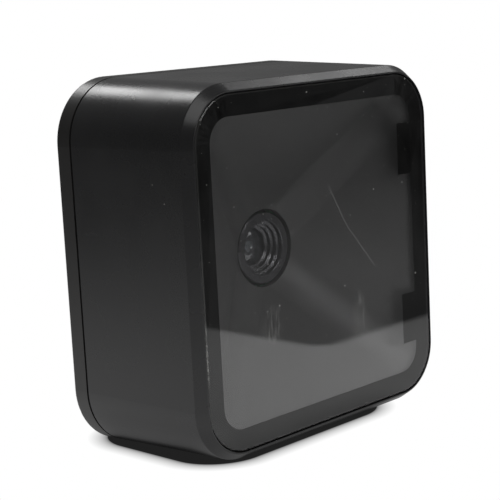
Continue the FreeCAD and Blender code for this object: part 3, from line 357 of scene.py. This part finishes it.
def stroke(s, x, z, start, end, width):
    """A mask along a straight line from start to end, in mm about the window's middle."""
    run_x, run_z = end[0] - start[0], end[1] - start[1]
    length = math.hypot(run_x, run_z)
    from_x, from_z = s.maths("SUBTRACT", x, start[0]), s.maths("SUBTRACT", z, start[1])
    along = s.maths("ADD", s.maths("MULTIPLY", from_x, run_x / length),
                    s.maths("MULTIPLY", from_z, run_z / length))
    across = s.maths("ABSOLUTE", s.maths("SUBTRACT", s.maths("MULTIPLY", from_z, run_x / length),
                                         s.maths("MULTIPLY", from_x, run_z / length)))
    inside = s.maths("MULTIPLY", s.maths("GREATER_THAN", along, 0.0),
                     s.maths("LESS_THAN", along, length))
    return s.maths("MULTIPLY", inside, s.ramp(across, 0, width, 1, 0))


def patches(s, x, z, ovals):
    """A mask of soft ovals, each given by its middle and its half axes."""
    mask = 0.0
    for (middle_x, middle_z), (half_x, half_z) in ovals:
        away = s.length(
            s.maths("DIVIDE", s.maths("SUBTRACT", x, middle_x), half_x),
            s.maths("DIVIDE", s.maths("SUBTRACT", z, middle_z), half_z),
        )
        mask = s.maths("MAXIMUM", mask, s.ramp(away, 0.5, 1.0, 1.0, 0.0))
    return mask


def window_glass(name):
    """The scan window: printed black on its rear face round the clear part, with a hairline
    scratch, wiping streaks, a faint haze and specks of dust on its front. Its side walls are
    painted dark as shade, and two light patches on its bevel are painted glints."""
    s = Shade(name)
    offset = s.vector("SUBTRACT", s.place, tuple(AXIS))
    offset_mm = s.vector("MULTIPLY", offset, (1 / MM, 1 / MM, 1 / MM))
    x, _, z = s.axes(offset_mm)
    flat = s.node("CombineXYZ", {0: x, 1: z}).outputs[0]
    straight = CLEAR_HALF - CLEAR_CORNER
    width, height = s.maths("ABSOLUTE", x), s.maths("ABSOLUTE", z)
    reach = s.length(
        s.maths("MAXIMUM", s.maths("SUBTRACT", width, straight), 0.0),
        s.maths("MAXIMUM", s.maths("SUBTRACT", height, straight), 0.0),
    )
    tabs = s.maths("MULTIPLY", s.maths("GREATER_THAN", x, TAB_INNER),
                   s.maths("MULTIPLY", s.maths("GREATER_THAN", height, TAB_LOW),
                           s.maths("LESS_THAN", height, TAB_HIGH)))
    printed = s.maths("MAXIMUM", tabs, s.maths("GREATER_THAN", reach, CLEAR_CORNER))
    depth = s.axes(s.place)[1]
    rear = s.maths("GREATER_THAN", depth, GLASS_BACK - REAR_SKIN)
    front = s.maths("LESS_THAN", depth, GLASS_FRONT + FRONT_SKIN)
    facing = s.maths("ABSOLUTE", s.axes(s.node("NewGeometry").outputs["True Normal"])[1])
    side = s.maths("LESS_THAN", facing, SIDE_FACING)
    # The glass's side walls are made near-black and opaque as painted shade for the gap round the
    # window, and join the print's mask.
    ink_and_painted_shade = s.maths("MAXIMUM", s.maths("MULTIPLY", printed, rear), side)

    dust = s.maths("MAXIMUM",
                   s.specks(9.5, 0.05, 0.2, 0.35, vector=flat),
                   s.specks(2.7, 0.02, 0.08, 0.4, vector=flat))
    broken = s.ramp(s.noise(0.5, detail=2, vector=flat), 0.35, 0.6, 0.25, 1.0)
    hairline = s.maths("MAXIMUM",
                       stroke(s, x, z, SCRATCH_START, SCRATCH_MIDDLE, SCRATCH_WIDTH),
                       stroke(s, x, z, SCRATCH_MIDDLE, SCRATCH_END, SCRATCH_WIDTH))
    hairline = s.maths("MULTIPLY", hairline, broken)
    upright = s.node("CombineXYZ", {0: x, 2: s.maths("MULTIPLY", z, 0.09)}).outputs[0]
    wiped = s.ramp(s.noise(0.35, detail=3, vector=upright), 0.46, 0.62)
    streaks = s.maths("MULTIPLY", wiped, patches(s, x, z, STREAKS))
    streaks = s.maths("MULTIPLY", streaks, STREAKS_SHOW)
    haze = s.ramp(s.noise(7.0, detail=4, vector=flat), 0.4, 0.75, 0.0, HAZE_SHOWS)
    marks = s.maths("MAXIMUM", s.maths("MULTIPLY", dust, DUST_SHOWS),
                    s.maths("MULTIPLY", hairline, SCRATCH_SHOWS))
    marks = s.maths("MULTIPLY", front, s.maths("ADD", s.maths("MAXIMUM", marks, streaks), haze))

    clear = s.principled(
        Base_Color=(0.95, 0.95, 0.95), Roughness=0.015, IOR=1.5, Transmission_Weight=1.0
    )
    lint = s.principled(Base_Color=(0.55, 0.55, 0.53), Roughness=0.8)
    dark = s.mix(s.noise(0.2, detail=2, vector=flat), INK_DARK, INK_LIGHT)
    # Side walls get the painted shade colour, and the rest gets the print's ink.
    black = s.principled(Base_Color=s.mix(side, dark, EDGE_PAINTED_SHADE), Roughness=0.4)
    bevel = s.maths("MULTIPLY", s.maths("LESS_THAN", facing, BEVEL_FACING),
                    s.maths("SUBTRACT", 1.0, side))
    # Painted glints: the bevel takes the pale rough shader in two patches, broken up by noise, over
    # a faint frost along all of it.
    glint_noise = s.noise(1.5, detail=3, vector=offset_mm)
    glint_strength = s.ramp(glint_noise, 0.35, 0.6, GLINT_LEAST, GLINT_MOST)
    painted_glints = s.maths("MULTIPLY", patches(s, x, z, BEVEL_PAINTED_GLINTS), glint_strength)
    frost_and_painted_glints = s.maths("MULTIPLY", bevel, s.maths("MAXIMUM", painted_glints, BEVEL_SHOWS))
    marks = s.maths("MAXIMUM", marks, frost_and_painted_glints)
    lamp = s.node("LightPath").outputs["Is Shadow Ray"]
    open_way = s.node("BsdfTransparent").outputs[0]
    seen = s.blend(ink_and_painted_shade, s.blend(marks, clear, lint), black)
    lets_through = s.maths("MULTIPLY", lamp, s.maths("SUBTRACT", 1.0, ink_and_painted_shade))
    return s.show(s.blend(lets_through, seen, open_way))


def border_print(name):
    """Matt black ink. Rays from lamps go through it, because the glass's own print stops them."""
    s = Shade(name)
    grain = s.noise(0.2 * MM, detail=2)
    black = s.principled(
        Base_Color=s.mix(grain, INK_DARK, INK_LIGHT), Roughness=s.ramp(grain, 0.3, 0.7, 0.35, 0.5),
        Normal=s.bump(grain, 0.002 * MM),
    )
    lamp = s.node("LightPath").outputs["Is Shadow Ray"]
    return s.show(s.blend(lamp, black, s.node("BsdfTransparent").outputs[0]))


MATERIALS = {
    "housing_plastic": lambda name: moulded(name, (0.014, 0.014, 0.0145), 0.28, dusty=0.08),
    "cover_plastic": lambda name: moulded(name, (0.016, 0.0155, 0.015), 0.33, dusty=0.08),
    "seal_rubber": lambda name: soft_rubber(name, (0.006, 0.006, 0.006)),
    "window_glass": window_glass,
    "border_print": border_print,
    "foam_tape": lambda name: soft_rubber(name, (0.01, 0.01, 0.01)),
    "funnel_plastic": lambda name: moulded(name, (0.023, 0.023, 0.023), 0.40, depth=0.002 * MM),
    "circuit_board": circuit_board,
    "led_package": led_package,
    "screw_steel": lambda name: metal(name, (0.56, 0.56, 0.57), 0.32),
    "black_screw_steel": lambda name: metal(name, (0.05, 0.05, 0.055), 0.38),
    "insert_brass": lambda name: metal(name, (0.78, 0.57, 0.25), 0.28),
    "lens_metal": anodised,
    "holder_plastic": lambda name: moulded(name, (0.012, 0.012, 0.013), 0.48),
    "lens_glass": lambda name: glass(name, (0.96, 0.97, 0.97), 1.65, 0.3, (0.9, 0.95, 1.0)),
    "filter_glass": lambda name: glass(name, (0.75, 0.9, 0.93), 1.52),
    "chip_epoxy": lambda name: moulded(name, (0.018, 0.018, 0.02), 0.5, grain=0.1 * MM),
    "sensor_package": sensor_package,
    "ferrite": lambda name: moulded(name, (0.07, 0.07, 0.075), 0.6, grain=0.15 * MM),
    "can_metal": lambda name: metal(name, (0.78, 0.78, 0.79), 0.3),
    "buzzer_plastic": lambda name: moulded(name, (0.015, 0.015, 0.015), 0.3),
    "jack_plastic": lambda name: moulded(name, (0.014, 0.014, 0.015), 0.34),
    "contact_gold": lambda name: metal(name, (0.9, 0.66, 0.26), 0.2),
    "infrared_lens": lambda name: moulded(name, (0.02, 0.008, 0.02), 0.12, depth=0.001 * MM),
    "ribbon_film": ribbon_film,
    "connector_nylon": lambda name: moulded(name, (0.72, 0.67, 0.54), 0.45),
    "label_film": label_film,
}


def dress_nodes():
    """Gives every CAD node the material of its slot."""
    made = {slot: make(slot) for slot, make in MATERIALS.items()}
    for part in frame["record"]["subparts"]:
        mesh = frame["nodes"][part["node"]].data
        mesh.materials.clear()
        mesh.materials.append(made[part["material_slot"]])


# Stage: a pale sheet under the scanner that glows rather than being lit. It has a painted contact
# shadow and a painted darker part past a corner in front of the window, which shows only in
# reflections. Then the room's light.

SHEET_HALF = 0.42
NEAR, FAR = 0.09, 0.30
NOTCH_X, NOTCH_Y = 0.0515, -0.0625
NOTCH_CORNER = 0.006
NOTCH_BLUR = 0.002
# Footprint of the painted contact shadow, and how far it fades as the camera sees it and in
# reflections.
FOOT_LOW = (-0.0285, -0.0142)
FOOT_HIGH = (0.0235, 0.0220)
FOOT_CORNER = 0.010
CONTACT_REACH, REFLECTED_REACH = 0.004, 0.020
# The sheet's painted glow: it falls with distance, is dimmer past the corner in reflections, and is
# near-black in the painted contact shadow.
SHEET_LIGHT, SHEET_FAR = 0.97, 0.25
DIM_NEAR, DIM_FAR = 0.18, 0.40
DIM_LIGHT, DIM_END = 0.16, 0.05
CONTACT_LIGHT = 0.015
EDGE_FADE = 0.9
ROOM_DARK, ROOM_BACK, ROOM_TOP = 0.08, 0.2, 0.12
ROOM_BEHIND = (0.4, 0.9, 0.1)
GLOW_STARTS = 0.3
BELOW_STARTS, BELOW_SHARE = -0.25, 0.15


def floor():
    """A white sheet that glows rather than being lit, with a painted contact shadow. Its glow as
    seen in reflections is painted too: bright near the scanner, dim beyond a corner in front of the
    window, and dimmer with distance."""
    bpy.ops.mesh.primitive_plane_add(size=2 * SHEET_HALF)
    sheet = bpy.context.object
    sheet.name = "pale_sheet"
    s = Shade("sheet_painted_glow")
    x, y, _ = s.axes(s.place)
    in_x = s.maths("SUBTRACT", x, NOTCH_X + NOTCH_CORNER)
    in_y = s.maths("SUBTRACT", NOTCH_Y - NOTCH_CORNER, y)
    out_x, out_y = s.maths("MINIMUM", in_x, 0.0), s.maths("MINIMUM", in_y, 0.0)
    corner = s.length(out_x, out_y)
    deep = s.maths("MAXIMUM", s.maths("MINIMUM", in_x, in_y), 0.0)
    inside = s.maths("SUBTRACT", s.maths("ADD", deep, NOTCH_CORNER), corner)
    notch = s.ramp(inside, -NOTCH_BLUR, NOTCH_BLUR)
    radius = s.length(x, y)
    near = s.ramp(radius, NEAR, FAR, SHEET_LIGHT, SHEET_FAR)
    dim = s.ramp(radius, DIM_NEAR, DIM_FAR, DIM_LIGHT, DIM_END)
    fade = s.node("Mix", {0: notch, 2: near, 3: dim}).outputs[0]
    reflected = s.maths("MINIMUM", near, fade)
    seen = s.node("LightPath").outputs["Is Camera Ray"]
    light = s.maths("MAXIMUM", reflected, seen)
    gaps = []
    # Painted contact shadow: the glow is dimmed near a rounded box under the scanner.
    for place, low, high in zip((x, y), FOOT_LOW, FOOT_HIGH):
        away = s.maths("ABSOLUTE", s.maths("SUBTRACT", place, (low + high) / 2))
        inner = (high - low) / 2 - FOOT_CORNER
        gaps.append(s.maths("MAXIMUM", s.maths("SUBTRACT", away, inner), 0.0))
    gap = s.length(*gaps)
    reach = s.ramp(seen, 0, 1, FOOT_CORNER + REFLECTED_REACH, FOOT_CORNER + CONTACT_REACH)
    painted_shadow_fade = s.ramp(gap, FOOT_CORNER, reach)
    painted_shadow = s.ramp(s.maths("SQRT", painted_shadow_fade), 0, 1, CONTACT_LIGHT, 1.0)
    light = s.maths("MULTIPLY", light, painted_shadow)
    glow = s.node("Emission", {"Color": (1, 1, 1), "Strength": light}).outputs[0]
    clear = s.node("BsdfTransparent").outputs[0]
    edge = s.ramp(radius, SHEET_HALF * EDGE_FADE, SHEET_HALF)
    sheet.data.materials.append(s.show(s.blend(edge, glow, clear)))


def room():
    """White to the camera. To everything else: dark in front, dim behind, brighter overhead."""
    world = bpy.data.worlds.new("room")
    scene.world = world
    world.use_nodes = True
    tree = world.node_tree
    tree.nodes.clear()

    def node(kind, operation=None, *given):
        made = tree.nodes.new("ShaderNode" + kind)
        if operation:
            made.operation = operation
        for socket, value in zip(made.inputs, given):
            if isinstance(value, bpy.types.NodeSocket):
                tree.links.new(value, socket)
            elif value is not None:
                socket.default_value = value
        return made

    direction = node("TexCoord").outputs["Generated"]
    behind = node("VectorMath", "DOT_PRODUCT", direction, ROOM_BEHIND).outputs["Value"]
    upward = node("SeparateXYZ", None, direction).outputs[2]
    back_glow = node("MapRange", None, behind, GLOW_STARTS, 1.0, ROOM_DARK, ROOM_BACK).outputs[0]
    top_glow = node("MapRange", None, upward, GLOW_STARTS, 1.0, 0.0, ROOM_TOP).outputs[0]
    lower = node("MapRange", None, upward, BELOW_STARTS, 0.0, BELOW_SHARE, 1.0).outputs[0]
    glow = node("Math", "MULTIPLY", node("Math", "ADD", back_glow, top_glow).outputs[0], lower)
    dim = node("Background", None, (1, 1, 1, 1), glow.outputs[0])
    white = node("Background", None, (1, 1, 1, 1), 1.0)
    seen = node("LightPath").outputs["Is Camera Ray"]
    mixed = node("MixShader", None, seen, dim.outputs[0], white.outputs[0])
    node("OutputWorld", None, mixed.outputs[0])


# Each softbox: its name, its place, its width and height in metres, and its power in watts.
SOFTBOXES = (
    ("overhead", (0.08, 0.43, 0.465), 0.15, 0.15, 0.6),
    ("front", (0.09, -0.61, 0.215), 0.16, 0.16, 0.32),
    ("edge", (0.45, 0.07, 0.425), 0.12, 0.12, 0.12),
    ("above", (-0.16, -0.22, 0.53), 0.5, 0.4, 1.2),
    ("lens", (0.38, -0.48, 0.17), 0.36, 0.14, 0.3),
)
SOFTBOX_AIM = Vector((0, 0, 0.035))


def softbox(name, place, width, height, power):
    """A soft light that shines at the middle of the scanner and doesn't show itself."""
    light = bpy.data.lights.new(name, "AREA")
    light.shape = "RECTANGLE"
    light.size, light.size_y = width, height
    light.energy = power
    lamp = bpy.data.objects.new(name, light)
    lamp.location = place
    lamp.visible_camera = False
    lamp.rotation_euler = (SOFTBOX_AIM - Vector(place)).to_track_quat("-Z", "Y").to_euler()
    scene.collection.objects.link(lamp)


AZIMUTH, ELEVATION, ROLL = math.radians(46.09), math.radians(9.81), math.radians(-2.96)
DISTANCE = 0.27885
AIM_X, AIM_Y, AIM_Z = -2.674 * MM, 16.627 * MM, -0.067 * MM
LENS = 103.46


def camera():
    """The camera stands to the left of the window's normal and a little above it, slightly
    tilted."""
    forward = Vector((
        math.sin(AZIMUTH) * math.cos(ELEVATION),
        math.cos(AZIMUTH) * math.cos(ELEVATION),
        -math.sin(ELEVATION),
    ))
    level = forward.cross(Vector((0, 0, 1))).normalized()
    upright = level.cross(forward)
    right = math.cos(ROLL) * level + math.sin(ROLL) * upright
    up = math.cos(ROLL) * upright - math.sin(ROLL) * level
    data = bpy.data.cameras.new("camera")
    data.lens = LENS
    made = bpy.data.objects.new("camera", data)
    turn = Matrix((right, up, -forward)).transposed()
    aim = Vector((AXIS.x + AIM_X, FRONT + AIM_Y, AXIS.z + AIM_Z))
    made.matrix_world = Matrix.Translation(aim - forward * DISTANCE) @ turn.to_4x4()
    scene.collection.objects.link(made)
    scene.camera = made


scene.view_settings.view_transform = "Standard"
camera()
room()
floor()
for settings in SOFTBOXES:
    softbox(*settings)
dress_nodes()
